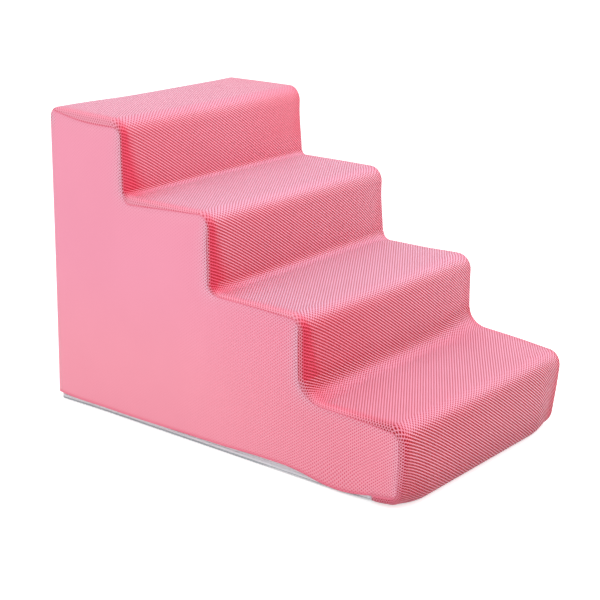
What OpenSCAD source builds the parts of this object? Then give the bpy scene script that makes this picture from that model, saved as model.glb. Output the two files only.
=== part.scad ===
// Foam pet stairs with four steps in a fitted mesh cover that zips off round the base.
// X runs across the stairs, -Y is the front with the lowest step, +Z is up.
// The origin is the middle of the base on the floor.

/* [Steps] */
// Width of the stairs across the treads
overall_w = 350; // [260:1:480]
// Depth of each tread, from its riser to the next one
tread_d = 146; // [120:1:200]
// Rise of the lowest step
rise_1 = 104; // [80:1:150]
// Rise of the second step
rise_2 = 101; // [80:1:150]
// Rise of the third step
rise_3 = 98; // [80:1:150]
// Rise of the top step
rise_4 = 95; // [80:1:150]

/* [Rounding] */
// Radius of each nosing, where a riser turns into its tread
nose_r = 21; // [15:0.5:30]
// Radius of the cloth in the inner corner above the lowest tread
inner_r_1 = 25; // [6:0.5:30]
// Radius of the cloth in the inner corner above the second tread
inner_r_2 = 13; // [6:0.5:30]
// Radius of the cloth in the inner corner above the third tread
inner_r_3 = 8; // [6:0.5:30]
// Radius of the lowest front edge, where the cloth turns under
front_r = 28; // [15:0.5:40]
// Radius of the top back edge
back_r = 14; // [12:0.5:30]
// Radius of the edges along both sides
edge_r = 9; // [8.5:0.5:10.5]

/* [Cover] */
// Thickness of the mesh cloth
mesh_t = 3.5; // [2:0.1:4.5]
// Angle round the side edge at which the strip meets the side panel
seam_angle = 60; // [40:1:75]
// Radius of the valley along each seam
groove_r = 1.6; // [0.6:0.1:1.9]
// Gap between two cloth edges that are sewn together
seam_gap = 0.3; // [0.1:0.05:0.5]
// Gap between the cover and what lies inside it
cover_gap = 0.3; // [0.1:0.05:0.6]
// Thickness of the non-slip base cloth
base_t = 2.5; // [1.5:0.1:3]
// How far the base cloth stands in from the side faces
base_inset = 3; // [1:0.1:3.5]
// How far the strip runs on under the base
strip_tuck = 20; // [10:1:50]

/* [Zip] */
// Thickness of the zip tape
tape_t = 0.6; // [0.4:0.05:0.8]
// Height of the upper tape above its teeth
upper_tape_h = 13; // [6:0.5:18]
// Width of the lower tape's fold, which lies on the base cloth
lower_tape_fold = 4; // [2:0.1:4.2]
// Thickness of the rows of teeth
teeth_t = 2; // [1.4:0.1:2.2]
// Height of one row of teeth
teeth_row_h = 2; // [1.4:0.1:2.2]
// Gap between the two rows of teeth, where the slider's divider runs
teeth_gap = 0.8; // [0.6:0.05:1]
// Free tape beyond each end stop
tape_tail = 2; // [1:0.1:6]
// Length of an end stop
stop_len = 2.2; // [1:0.1:4]
// How far an end stop reaches over the tape
stop_lap = 0.6; // [0.3:0.1:0.9]

/* [Slider] */
// Length of the slider along the zip
slider_len = 9; // [7:0.1:12]
// Width of the slider across the zip
slider_w = 6.6; // [6.4:0.1:7]
// Thickness of each of the slider's two plates
plate_t = 0.8; // [0.6:0.05:1]
// Corner radius of the slider's plates
plate_r = 1.4; // [0.5:0.1:2.5]
// Clearance between the slider and the teeth
run_gap = 0.2; // [0.1:0.05:0.3]
// Thickness of the divider between the two rows of teeth
divider_t = 0.4; // [0.3:0.05:0.5]
// Length of the divider
divider_len = 3; // [1.5:0.1:5]
// Length of the bridge that holds the pull tab
bridge_len = 5.2; // [4.6:0.1:6]
// Width of the bridge
bridge_w = 1.6; // [1:0.1:2]
// Height of the bridge above its plate
bridge_h = 1.9; // [1.75:0.05:2]
// Thickness of the bridge's arch
arch_t = 0.7; // [0.4:0.05:0.75]

/* [Pull tab] */
// Thickness of the pull tab and its crossbar
pull_t = 0.9; // [0.6:0.05:0.95]
// Length of the pull tab from its crossbar
pull_len = 24; // [14:0.5:32]
// Width of the pull tab's grip
pull_w = 5; // [4:0.1:6]
// Width of each arm of the pull tab's loop
arm_w = 0.8; // [0.5:0.05:1]
// Clearance between the loop and the bridge
loop_gap = 0.3; // [0.15:0.05:0.5]
// Length of the web between the loop and the grip
web_len = 1.2; // [0.8:0.1:2]
// Radius of the hole in the grip
grip_hole_r = 1.1; // [0.5:0.1:1.5]

/* [Hidden] */
$fn = 64;
overrun = 1;

rises = [rise_1, rise_2, rise_3, rise_4];
inner_rs = [inner_r_1, inner_r_2, inner_r_3];
steps = len(rises);
function tread_z(i) = i < 0 ? 0 : tread_z(i - 1) + rises[i];
overall_d = steps * tread_d;
overall_h = tread_z(steps - 1);
half_w = overall_w / 2;
half_d = overall_d / 2;
function riser_y(i) = i * tread_d - half_d;
// Half width of the flat cloth between the rounded side edges
flat_w = half_w - edge_r;
span = overall_w + overall_d + overall_h;
// Turn round the side edge that opens a seam's gap
seam_turn = seam_gap / edge_r * 180 / PI;

// The zip lies between the base cloth and the hems of the side and back panels
tape_depth = mesh_t + cover_gap;
zip_depth = tape_depth + tape_t / 2;
zip_z = base_t + tape_t + seam_gap + slider_w / 2;
hem_z = zip_z + slider_w / 2 + seam_gap;
chain_h = teeth_gap / 2 + teeth_row_h;
strip_end_y = front_r + strip_tuck - half_d;
zip_start_y = strip_end_y + seam_gap;
stop_y = zip_start_y + tape_tail;
teeth_start_y = stop_y + stop_len;
upper_tape_top = zip_z + chain_h + upper_tape_h;

// The slider's plates lie on both sides of the teeth
channel_h = teeth_t + 2 * run_gap;
outer_plate_depth = zip_depth - channel_h / 2 - plate_t;
slider_y = teeth_start_y + seam_gap + slider_len / 2;
window_h = bridge_h - arch_t;
window_len = bridge_len - 2 * arch_t;
pivot_depth = outer_plate_depth - window_h / 2;
slot_h = tape_t + 2 * run_gap;
flange_h = slider_w / 2 - chain_h - run_gap;
loop_len = norm([bridge_len / 2, bridge_h - window_h / 2]) + loop_gap;

// Foam fills the cover and leaves room for the slider behind the zip
foam_inset = mesh_t + cover_gap;
relief_depth = outer_plate_depth + 2 * plate_t + channel_h + cover_gap;
relief_z = upper_tape_top + cover_gap;
function foam_top(i) = tread_z(i) - foam_inset;

cover_pink = [0.93, 0.47, 0.57];
side_pink = [0.96, 0.58, 0.66];
base_white = [0.88, 0.88, 0.92];
foam_cream = [0.95, 0.92, 0.82];
tape_white = [0.93, 0.91, 0.94];
teeth_white = [0.86, 0.86, 0.9];
zip_metal = [0.75, 0.75, 0.77];

// Turns a drawing of the side view, with Y and Z as its axes, into its place
module in_side_view() {
    rotate([90, 0, 90]) children();
}

// Sweeps a section along a straight run. The section's first axis is the depth below
// the surface, which points at depth_angle; the run goes a quarter turn clockwise from it.
module run(start, depth_angle, length) {
    translate(start)
        rotate([0, 0, depth_angle])
            rotate([90, 0, 0])
                linear_extrude(height = length) children();
}

// Sweeps a section round a corner whose surface bulges out
module outer_bend(centre, radius, from_angle) {
    translate(centre)
        rotate([0, 0, from_angle])
            rotate_extrude(angle = 90) translate([radius, 0]) mirror([1, 0]) children();
}

// Sweeps a section round a corner whose surface is hollow
module inner_bend(centre, radius, from_angle) {
    translate(centre)
        rotate([0, 0, from_angle])
            rotate_extrude(angle = 90) translate([radius, 0]) children();
}

// Sweeps a section along the steps, from under the front edge to the top back edge
module along_steps() {
    in_side_view() {
        run([front_r - half_d, 0], 90, strip_tuck) children();
        outer_bend([front_r - half_d, front_r], front_r, 180) children();
        for (i = [0 : steps - 1]) {
            foot = i == 0 ? front_r : tread_z(i - 1) + inner_rs[i - 1];
            run([riser_y(i), tread_z(i) - nose_r], 0, tread_z(i) - nose_r - foot) children();
            outer_bend([riser_y(i) + nose_r, tread_z(i) - nose_r], nose_r, 90) children();
        }
        for (i = [0 : steps - 2]) {
            heel = riser_y(i + 1) - inner_rs[i];
            run([heel, tread_z(i)], -90, heel - riser_y(i) - nose_r) children();
            inner_bend([heel, tread_z(i) + inner_rs[i]], inner_rs[i], -90) children();
        }
        run([half_d - back_r, overall_h], -90, tread_d - back_r - nose_r) children();
        outer_bend([half_d - back_r, overall_h - back_r], back_r, 0) children();
    }
}

// Sweeps a section of depth and height round the base: right side, back and left side
module round_base(from_y) {
    run_len = half_d - edge_r - from_y;
    run([half_w, from_y], 180, run_len) children();
    outer_bend([flat_w, half_d - edge_r], edge_r, 0) children();
    run([flat_w, half_d], -90, 2 * flat_w) children();
    outer_bend([-flat_w, half_d - edge_r], edge_r, 90) children();
    run([-half_w, half_d - edge_r], 0, run_len) children();
}

// Side view of the stairs, drawn in by an even inset
module steps_outline(inset) {
    difference() {
        union() {
            for (i = [0 : steps - 1]) {
                step_d = half_d - inset - riser_y(i);
                translate([riser_y(i) + nose_r, inset])
                    square([step_d - nose_r, tread_z(i) - 2 * inset]);
                translate([riser_y(i) + inset, inset])
                    square([step_d - inset, tread_z(i) - nose_r - inset]);
                translate([riser_y(i) + nose_r, tread_z(i) - nose_r]) circle(nose_r - inset);
            }
            for (i = [0 : steps - 2])
                translate([riser_y(i + 1) - inner_rs[i], tread_z(i) + inner_rs[i]])
                    difference() {
                        translate([0, -inner_rs[i] - inset]) square(inner_rs[i] + inset);
                        circle(inner_rs[i] + inset);
                    }
        }
        corner_cut([front_r - half_d, front_r], 180, front_r - inset);
        corner_cut([half_d - back_r, overall_h - back_r], 0, back_r - inset);
    }
}

// What rounds off a square corner of an outline
module corner_cut(centre, from_angle, radius) {
    translate(centre)
        rotate(from_angle)
            difference() {
                square(radius + overrun);
                circle(radius);
            }
}

// Part of the plane between two directions at most a quarter turn apart
module wedge(from_angle, to_angle) {
    intersection() {
        rotate(from_angle) square(span);
        rotate(to_angle - 90) square(span);
    }
}

// Cloth round the side edge of a section; 90 faces sideways and 180 faces outwards
module edge_ring(from_angle, to_angle) {
    translate([edge_r, flat_w])
        intersection() {
            difference() {
                circle(edge_r);
                circle(edge_r - mesh_t);
            }
            wedge(from_angle, to_angle);
        }
}

// The valley of a seam that lies round the side edge
module seam_valley(at_angle) {
    translate([edge_r, flat_w]) rotate(at_angle) translate([edge_r, 0]) circle(groove_r);
}

// Draws a section's shape at both of its ends
module both_ends() {
    children();
    mirror([0, 1]) children();
}

module strip_section() {
    difference() {
        union() {
            translate([0, -flat_w]) square([mesh_t, 2 * flat_w]);
            both_ends() edge_ring(180 - seam_angle, 180);
        }
        both_ends() seam_valley(180 - seam_angle);
    }
}

// The side panel's edge along the steps, with a lap on its flat part
module side_edge_section() {
    difference() {
        union() {
            edge_ring(90, 180 - seam_angle - seam_turn);
            translate([edge_r, half_w - mesh_t]) square([overrun, mesh_t]);
        }
        seam_valley(180 - seam_angle);
    }
}

// The side panel's edge round the upright back corner, which it covers as far as the back
module back_edge_section() {
    difference() {
        union() {
            edge_ring(90, 180 - seam_turn);
            translate([edge_r, half_w - mesh_t]) square([overrun, mesh_t]);
        }
        seam_valley(180);
    }
}

module cover_step_strip() {
    color(cover_pink) along_steps() strip_section();
}

// The valley where the hems of the side and back panels meet the zip
module hem_valley() {
    round_base(zip_start_y) translate([0, hem_z]) circle(groove_r);
}

module side_panel() {
    back_edge_h = overall_h - back_r - seam_gap - hem_z;
    difference() {
        union() {
            in_side_view() {
                translate([0, 0, half_w - mesh_t])
                    linear_extrude(height = mesh_t) steps_outline(edge_r);
                run([half_d, hem_z], 180, back_edge_h) back_edge_section();
                run([half_d, hem_z], 180, back_edge_h + seam_gap) side_edge_section();
            }
            along_steps() side_edge_section();
        }
        translate([0, strip_end_y, -overrun])
            cube([half_w + overrun, overall_d, hem_z + overrun]);
        hem_valley();
    }
}

module cover_right_side() {
    color(side_pink) side_panel();
}

module cover_left_side() {
    color(side_pink) mirror([1, 0, 0]) side_panel();
}

module cover_back_panel() {
    panel_w = flat_w - seam_gap;
    color(cover_pink)
        difference() {
            translate([0, 0, hem_z])
                linear_extrude(height = overall_h - back_r - seam_gap - hem_z)
                    difference() {
                        translate([-panel_w, half_d - mesh_t]) square([2 * panel_w, mesh_t]);
                        for (side = [-1, 1])
                            translate([side * flat_w, half_d]) circle(groove_r);
                    }
            hem_valley();
        }
}

module cover_base_panel() {
    base_w = half_w - base_inset;
    back_y = half_d - base_inset;
    corner_r = edge_r - base_inset;
    color(base_white)
        linear_extrude(height = base_t) {
            translate([-base_w, zip_start_y])
                square([2 * base_w, back_y - corner_r - zip_start_y]);
            translate([-flat_w, zip_start_y]) square([2 * flat_w, back_y - zip_start_y]);
            for (side = [-1, 1]) translate([side * flat_w, half_d - edge_r]) circle(corner_r);
        }
}

// Foam that fills a rounded side edge of the cover and reaches into the slab beside it
module foam_edge() {
    foam_r = edge_r - foam_inset;
    both_ends()
        translate([edge_r, flat_w]) {
            intersection() {
                circle(foam_r);
                wedge(90, 180);
            }
            translate([-foam_r, -overrun]) square([foam_r, overrun]);
            square([overrun, foam_r]);
        }
}

// Side view of one slab, drawn in from the cover's surface by an even inset
module slab_outline(i, inset) {
    low = i == 0 ? inset : foam_top(i - 1);
    step_d = half_d - inset - riser_y(i);
    difference() {
        union() {
            translate([riser_y(i) + nose_r, low])
                square([step_d - nose_r, tread_z(i) - inset - low]);
            translate([riser_y(i) + inset, low])
                square([step_d - inset, tread_z(i) - nose_r - low]);
            translate([riser_y(i) + nose_r, tread_z(i) - nose_r]) circle(nose_r - inset);
        }
        if (i == 0) corner_cut([front_r - half_d, front_r], 180, front_r - inset);
        if (i == steps - 1)
            corner_cut([half_d - back_r, overall_h - back_r], 0, back_r - inset);
    }
}

// The rounded side edges of one slab, where the slab above leaves them bare
module slab_edges(i) {
    low = i == 0 ? front_r : foam_top(i - 1);
    last = i == steps - 1;
    tread_end = last ? half_d - back_r : riser_y(i + 1) + edge_r;
    back_top = last ? overall_h - back_r : foam_top(i);
    run([riser_y(i), tread_z(i) - nose_r], 0, tread_z(i) - nose_r - low) foam_edge();
    outer_bend([riser_y(i) + nose_r, tread_z(i) - nose_r], nose_r, 90) foam_edge();
    run([tread_end, tread_z(i)], -90, tread_end - riser_y(i) - nose_r) foam_edge();
    run([half_d, low], 180, back_top - low) foam_edge();
    if (i == 0) {
        run([front_r - half_d, 0], 90, strip_tuck) foam_edge();
        outer_bend([front_r - half_d, front_r], front_r, 180) foam_edge();
    }
    if (last) outer_bend([half_d - back_r, overall_h - back_r], back_r, 0) foam_edge();
}

// Room behind the zip for its tapes and its slider
module zip_relief() {
    round_base(strip_end_y)
        translate([-overrun, -overrun]) square([relief_depth + overrun, relief_z + overrun]);
}

module foam_slab(i) {
    covered_y = riser_y(i + 1) + edge_r;
    low = i == 0 ? edge_r : foam_top(i - 1);
    color(foam_cream)
        difference() {
            in_side_view() {
                translate([0, 0, -flat_w])
                    linear_extrude(height = 2 * flat_w) slab_outline(i, foam_inset);
                translate([0, 0, foam_inset - half_w])
                    linear_extrude(height = 2 * (half_w - foam_inset)) {
                        slab_outline(i, edge_r);
                        if (i < steps - 1)
                            translate([covered_y, low])
                                square([half_d - edge_r - covered_y, foam_top(i) - low]);
                    }
                slab_edges(i);
            }
            if (i == 0) zip_relief();
        }
}

module foam_slab_1() { foam_slab(0); }
module foam_slab_2() { foam_slab(1); }
module foam_slab_3() { foam_slab(2); }
module foam_slab_4() { foam_slab(3); }

module zip_upper_tape() {
    color(tape_white)
        round_base(zip_start_y)
            translate([tape_depth, zip_z + chain_h]) square([tape_t, upper_tape_h]);
}

module zip_lower_tape() {
    color(tape_white)
        round_base(zip_start_y) {
            translate([tape_depth, base_t]) square([tape_t, zip_z - chain_h - base_t]);
            translate([tape_depth, base_t]) square([tape_t + lower_tape_fold, tape_t]);
        }
}

module teeth_row(low_z) {
    round_base(teeth_start_y)
        translate([zip_depth - teeth_t / 2, low_z]) square([teeth_t, teeth_row_h]);
}

module zip_upper_teeth() {
    color(teeth_white) teeth_row(zip_z + teeth_gap / 2);
}

module zip_lower_teeth() {
    color(teeth_white) teeth_row(zip_z - chain_h);
}

// A clip that closes the end of the chain and holds both tapes
module end_stop() {
    reach = chain_h + stop_lap;
    translate([half_w - zip_depth, stop_y, zip_z])
        difference() {
            translate([-teeth_t / 2, 0, -reach]) cube([teeth_t, stop_len, 2 * reach]);
            for (side = [0, 1])
                mirror([0, 0, side])
                    translate([-tape_t / 2, -overrun, chain_h])
                        cube([tape_t, stop_len + 2 * overrun, reach]);
        }
}

module zip_end_stops() {
    color(zip_metal) {
        end_stop();
        mirror([1, 0, 0]) end_stop();
    }
}

// Places a slider part, drawn with X along the zip, Y up and Z out of the cover
module on_zip(depth) {
    translate([half_w - depth, slider_y, zip_z]) rotate([90, 0, 90]) children();
}

module rounded_plate() {
    long = slider_len - 2 * plate_r;
    wide = slider_w - 2 * plate_r;
    linear_extrude(height = plate_t) {
        square([slider_len, wide], center = true);
        square([long, slider_w], center = true);
        for (x = [-1, 1], y = [-1, 1]) translate([x * long / 2, y * wide / 2]) circle(plate_r);
    }
}

// Flanges that turn in from a plate towards the tape
module flanges() {
    flange_len = slider_len - 2 * plate_r;
    for (side = [0, 1])
        mirror([0, side, 0])
            translate([-flange_len / 2, chain_h + run_gap, -overrun / 2])
                cube([flange_len, flange_h, (channel_h - slot_h) / 2 + overrun / 2]);
}

module bridge() {
    rotate([90, 0, 0])
        linear_extrude(height = bridge_w, center = true)
            difference() {
                union() {
                    translate([-bridge_len / 2, -plate_t / 2])
                        square([bridge_len, bridge_h - arch_t + plate_t / 2]);
                    translate([arch_t - bridge_len / 2, 0]) square([window_len, bridge_h]);
                    for (side = [-1, 1]) translate([side * window_len / 2, window_h]) circle(arch_t);
                }
                translate([-window_len / 2, 0]) square([window_len, window_h]);
            }
}

module zip_slider_body() {
    color(zip_metal) {
        on_zip(outer_plate_depth + plate_t) rounded_plate();
        on_zip(outer_plate_depth + plate_t) mirror([0, 0, 1]) flanges();
        on_zip(outer_plate_depth + 2 * plate_t + channel_h) rounded_plate();
        on_zip(outer_plate_depth + plate_t + channel_h) flanges();
        on_zip(outer_plate_depth) bridge();
        on_zip(zip_depth)
            translate([-slider_len / 2 + plate_r, -divider_t / 2, -channel_h / 2 - plate_t / 2])
                cube([divider_len, divider_t, channel_h + plate_t]);
    }
}

module zip_pull_tab() {
    arm_out = bridge_w / 2 + loop_gap + arm_w;
    grip_r = pull_w / 2;
    color(zip_metal)
        on_zip(pivot_depth) {
            translate([0, arm_out, 0])
                rotate([90, 0, 0]) cylinder(h = 2 * arm_out, r = pull_t / 2);
            linear_extrude(height = pull_t, center = true) {
                for (side = [0, 1])
                    mirror([0, side])
                        translate([0, arm_out - arm_w]) square([loop_len + web_len, arm_w]);
                translate([loop_len, -arm_out]) square([web_len, 2 * arm_out]);
                difference() {
                    union() {
                        translate([loop_len + web_len + grip_r, 0]) circle(grip_r);
                        translate([loop_len + web_len + grip_r, -grip_r])
                            square([pull_len - loop_len - web_len - 2 * grip_r, pull_w]);
                        translate([pull_len - grip_r, 0]) circle(grip_r);
                        translate([loop_len, -grip_r / 2]) square([web_len + grip_r, grip_r]);
                    }
                    translate([pull_len - grip_r, 0]) circle(grip_hole_r);
                }
            }
        }
}

cover_step_strip();
cover_left_side();
cover_right_side();
cover_back_panel();
cover_base_panel();
foam_slab_1();
foam_slab_2();
foam_slab_3();
foam_slab_4();
zip_upper_tape();
zip_lower_tape();
zip_upper_teeth();
zip_lower_teeth();
zip_end_stops();
zip_slider_body();
zip_pull_tab();
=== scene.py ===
"""Foam pet stairs with four steps in a fitted pink mesh cover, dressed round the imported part.

X runs across the stairs, -Y is the front with the lowest step and Z is up. Lengths are in metres.
The cover is cut from flat panels: one strip over the steps, two sides, a back and a base. Each panel
is a closed shell that follows the part's solids, with its edges rolled into the seams.
"""

import math

import bmesh
import bpy
import numpy as np
from mathutils import Matrix, Vector, kdtree
from mathutils.geometry import delaunay_2d_cdt


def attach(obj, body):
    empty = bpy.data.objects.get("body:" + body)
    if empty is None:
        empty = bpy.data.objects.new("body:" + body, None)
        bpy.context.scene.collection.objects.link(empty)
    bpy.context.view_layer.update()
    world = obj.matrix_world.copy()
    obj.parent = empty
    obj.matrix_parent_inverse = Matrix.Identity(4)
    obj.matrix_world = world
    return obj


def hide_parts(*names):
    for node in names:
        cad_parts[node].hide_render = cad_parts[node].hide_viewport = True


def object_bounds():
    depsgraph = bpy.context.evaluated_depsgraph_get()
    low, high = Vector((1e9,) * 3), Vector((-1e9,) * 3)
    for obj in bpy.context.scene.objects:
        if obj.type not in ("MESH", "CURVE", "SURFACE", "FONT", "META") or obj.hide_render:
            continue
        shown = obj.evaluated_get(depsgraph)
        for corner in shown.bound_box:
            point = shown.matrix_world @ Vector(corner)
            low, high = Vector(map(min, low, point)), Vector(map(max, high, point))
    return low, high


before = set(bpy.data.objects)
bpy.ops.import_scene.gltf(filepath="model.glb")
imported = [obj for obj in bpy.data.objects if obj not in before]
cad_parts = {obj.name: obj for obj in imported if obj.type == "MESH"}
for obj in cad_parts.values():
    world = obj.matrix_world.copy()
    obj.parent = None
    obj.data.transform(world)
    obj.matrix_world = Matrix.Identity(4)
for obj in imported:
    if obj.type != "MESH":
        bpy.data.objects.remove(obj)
CAD_LOW, CAD_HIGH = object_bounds()

MM = 0.001
UV_NAME = "Cloth"
# Layer of the red, painted shade and bounce light, and of how open the holes are
SHADE_OPEN_NAME = "Pull"

# The steps, from the part's box
HALF_W, HALF_D, HEIGHT = CAD_HIGH.x, CAD_HIGH.y, CAD_HIGH.z
RISES = np.array((104, 101, 98, 95)) * MM
STEPS = len(RISES)
TREAD_D = 2 * HALF_D / STEPS
TREAD_Z = np.cumsum(RISES)
RISER_Y = np.arange(STEPS) * TREAD_D - HALF_D

# Rounding of the cover
NOSE_R = 21 * MM
INNER_R = (25 * MM, 13 * MM, 8 * MM)
FRONT_R = 20 * MM
BACK_R = 14 * MM
EDGE_R = 5.5 * MM
FLAT_W = HALF_W - EDGE_R

# Cloth and seams
MESH_T = 3.5 * MM
SEAM_GAP = 0.03 * MM
VALLEY_R = 0.4 * MM
FINE_ENDS = (0, 0.1, 0.3, 0.6, 1)
STRIP_TUCK = 28 * MM
PANEL_MESH = 7 * MM
EDGE_MESH = 6 * MM
HOLE_ACROSS = 5.62 * MM
HOLE_ALONG = 3.92 * MM
ROW_DRAG = 10 * MM
ROW_DRAG_REACH = 40 * MM
SEAM_RED_REACH = 1.2 * MM
SEAM_OPEN_REACH = 7 * MM

# Zip and base
ZIP_Z = 6.7 * MM
CHAIN_H = 2.4 * MM
HEM_Z = 10.3 * MM
TAPE_T = 0.6 * MM
TAPE_DEPTH = 3.8 * MM
UPPER_TAPE_H = 13 * MM
LOWER_TAPE_FOLD = 4 * MM
TEETH_T = 2 * MM
TOOTH_PITCH = 1.4 * MM
TOOTH_L = 1.0 * MM
TOOTH_REACH = 0.25 * MM
TOOTH_CORNER = 0.3
BASE_T = 2.5 * MM
BASE_INSET = 3 * MM
BASE_CORNER_R = 9 * MM
BASE_MESH = 12 * MM
DOT_H = 0.7 * MM
DOT_R = 1.6 * MM
DOT_PITCH = 9 * MM
STRIP_END_Y = FRONT_R + STRIP_TUCK - HALF_D
ZIP_START_Y = STRIP_END_Y + SEAM_GAP
TEETH_START_Y = ZIP_START_Y + 4.2 * MM

# Foam and the form that the cover is simulated on
FOAM_NODES = [f"foam_slab_{i + 1}" for i in range(STEPS)]
FOAM_NAMES = [f"foam_block_{i + 1}" for i in range(STEPS)]
FOAM_VOXEL = 7 * MM
SWELL_VOXEL = 6 * MM
SWELL_FRAMES = 20
SWELL = 1.2 * MM
HELD_BELOW = 16 * MM

# Light and floor
SKY = 1.02
FLOOR_LIFT = 0.62
FLOOR_SIZE = 40
LAMP_SIZE = 1.4
LAMP_TARGET = (0, 0, 0.2)
LAMPS = (("above", (0.3, -0.6, 1.3), 6), ("right", (1.4, -1.4, 0.4), 3.5), ("top", (0, 0, 2.4), 1))

# Where the photograph was taken from
CAMERA_PLACE = (-1.3834, -1.1473, 0.7204)
CAMERA_YAW = 0.8752
CAMERA_PITCH = -0.3044
CAMERA_ROLL = -0.0042
CAMERA_LENS = 86.15


# Lines that the panels follow


def on_line(start, end, spacing):
    """Stations on a straight line, its end left out: place and outward direction, left of travel."""
    start, end = np.array(start), np.array(end)
    length = np.linalg.norm(end - start)
    way = (end - start) / length
    count = max(1, round(length / spacing))
    share = np.arange(count)[:, None] / count
    places = start + share * (end - start)
    return np.hstack([places, np.tile([-way[1], way[0]], (count, 1))])


def on_arc(centre, radius, from_deg, to_deg, spacing_deg=7.5):
    """Stations on an arc, its end left out. Turning clockwise, the outside is away from the centre."""
    count = max(1, round(abs(to_deg - from_deg) / spacing_deg))
    angle = np.radians(from_deg + (to_deg - from_deg) * np.arange(count) / count)
    out = np.column_stack([np.cos(angle), np.sin(angle)])
    side = 1 if to_deg < from_deg else -1
    return np.hstack([np.array(centre) + radius * out, side * out])


def steps_line(spacing=5 * MM):
    """The side view of the strip, from under the front edge over the steps to the top back edge."""
    front, top, foot = FRONT_R - HALF_D, HALF_D - BACK_R, FRONT_R
    parts = [on_line((STRIP_END_Y, 0), (front, 0), spacing), on_arc((front, foot), FRONT_R, 270, 180)]
    for i, (y, z) in enumerate(zip(RISER_Y, TREAD_Z)):
        parts.append(on_line((y, foot), (y, z - NOSE_R), spacing))
        parts.append(on_arc((y + NOSE_R, z - NOSE_R), NOSE_R, 180, 90))
        if i < STEPS - 1:
            heel, foot = RISER_Y[i + 1] - INNER_R[i], z + INNER_R[i]
            parts.append(on_line((y + NOSE_R, z), (heel, z), spacing))
            parts.append(on_arc((heel, foot), INNER_R[i], 270, 360))
    parts.append(on_line((RISER_Y[-1] + NOSE_R, HEIGHT), (top, HEIGHT), spacing))
    parts.append(on_arc((top, HEIGHT - BACK_R), BACK_R, 90, 0))
    return np.vstack([*parts, [(HALF_D, HEIGHT - BACK_R, 1, 0)]])


EDGE_ARC = EDGE_R * math.pi / 2
SEAM_DROP = (
    ((0, 9), (1, 11)),
    ((0, 10.5), (0.5, 5), (1, 3)),
    ((0, 6), (0.4, 12), (0.7, 11.5), (1, 9)),
    ((0, 7), (0.5, 4), (1, 3)),
    ((0, 4), (0.3, 8), (0.7, 8), (1, 4)),
    ((0, 2.5), (0.5, 6), (1, 10.5)),
    ((0, 8), (0.5, 5.5), (1, 5)),
    ((0, 10), (0.4, 12), (0.75, 9), (1, 1.5)),
)


def step_under(y):
    """Which step each place along the stairs is on, counted from the front."""
    return np.clip(np.searchsorted(RISER_Y, y + 0.1 * MM) - 1, 0, STEPS - 1)


def seam_arcs(stations):
    """How far round each side edge the strip's seam runs at each station. SEAM_DROP tells how many
    millimetres it lies below the edge, by share of each riser and tread in turn from the front."""
    y, z = stations[:, 0], stations[:, 1]
    tread = step_under(y)
    edge, foot = RISER_Y[tread], (TREAD_Z - RISES)[tread]
    on_tread = stations[:, 3] > stations[:, 2].clip(None, 0) * -1
    depth_of = np.zeros(len(stations))
    for k in range(len(stations)):
        share = (y[k] - edge[k]) / TREAD_D if on_tread[k] else (z[k] - foot[k]) / RISES[tread[k]]
        places, drops = zip(*SEAM_DROP[2 * tread[k] + int(on_tread[k])])
        depth_of[k] = np.interp(share, places, drops) * MM
    depth_of = smoothed(depth_of, 15)
    turned = EDGE_R * np.arccos(np.clip(1 - depth_of / EDGE_R, 0, 1))
    return turned + np.maximum(depth_of - EDGE_R, 0)


def smoothed(values, width):
    """A running mean over this many values, weighted to the middle one."""
    window = np.hanning(width)
    return np.convolve(np.pad(values, width // 2, mode="edge"), window / window.sum(), "valid")


def tree_of(places):
    """A search tree of flat or solid places."""
    tree = kdtree.KDTree(len(places))
    for i, place in enumerate(places):
        tree.insert((*place, 0)[:3], i)
    tree.balance()
    return tree


def lengths_along(stations):
    steps = np.linalg.norm(np.diff(stations[:, :2], axis=0), axis=1)
    return np.concatenate([[0], np.cumsum(steps)])


def with_fine_end(start, stop, spacing):
    """Places from start to stop, closer together near start, where an edge rolls in."""
    side = math.copysign(1, stop - start)
    fine = [start + side * VALLEY_R * d for d in FINE_ENDS]
    first = fine.pop()
    count = max(1, round(abs(stop - first) / spacing))
    return fine + [first + (stop - first) * k / count for k in range(count + 1)]


def roll_in(distance):
    """How far an edge is rolled in at this distance from the seam."""
    room = np.clip(VALLEY_R - distance, 0, VALLEY_R)
    return VALLEY_R - np.sqrt(VALLEY_R**2 - room**2)


# Turning points and faces into pieces


def grid_faces(rows, columns):
    index = np.arange(rows * columns).reshape(rows, columns)
    a, b, c, d = index[:-1, :-1], index[:-1, 1:], index[1:, 1:], index[1:, :-1]
    return np.stack([a, b, c, d], -1).reshape(-1, 4).tolist()


def tube_faces(rings, count):
    """Faces round a tube of rings, each with this many points, and over its two ends."""
    faces = [
        [ring + i, ring + j, ring + j + count, ring + i + count]
        for ring in range(0, (rings - 1) * count, count)
        for i, j in zip(range(count), [*range(1, count), 0])
    ]
    return faces + [list(range(count))[::-1], list(range((rings - 1) * count, rings * count))]


def rim_of(faces):
    """The edges that only one face has, as that face runs along them."""
    edges = dict.fromkeys((a, b) for face in faces for a, b in zip(face, face[1:] + face[:1]))
    return [(a, b) for a, b in edges if (b, a) not in edges]


def add_object(name, data):
    made = bpy.data.objects.new(name, data)
    bpy.context.scene.collection.objects.link(made)
    return made


def remeshed(form, size):
    """A voxel mesh of an object, which goes."""
    remesh = form.modifiers.new("Remesh", "REMESH")
    remesh.mode = "VOXEL"
    remesh.voxel_size = size
    graph = bpy.context.evaluated_depsgraph_get()
    mesh = bpy.data.meshes.new_from_object(form.evaluated_get(graph))
    bpy.data.objects.remove(form)
    return mesh


def points_of(mesh):
    flat = np.zeros(len(mesh.vertices) * 3)
    mesh.vertices.foreach_get("co", flat)
    return flat.reshape(-1, 3)


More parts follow.
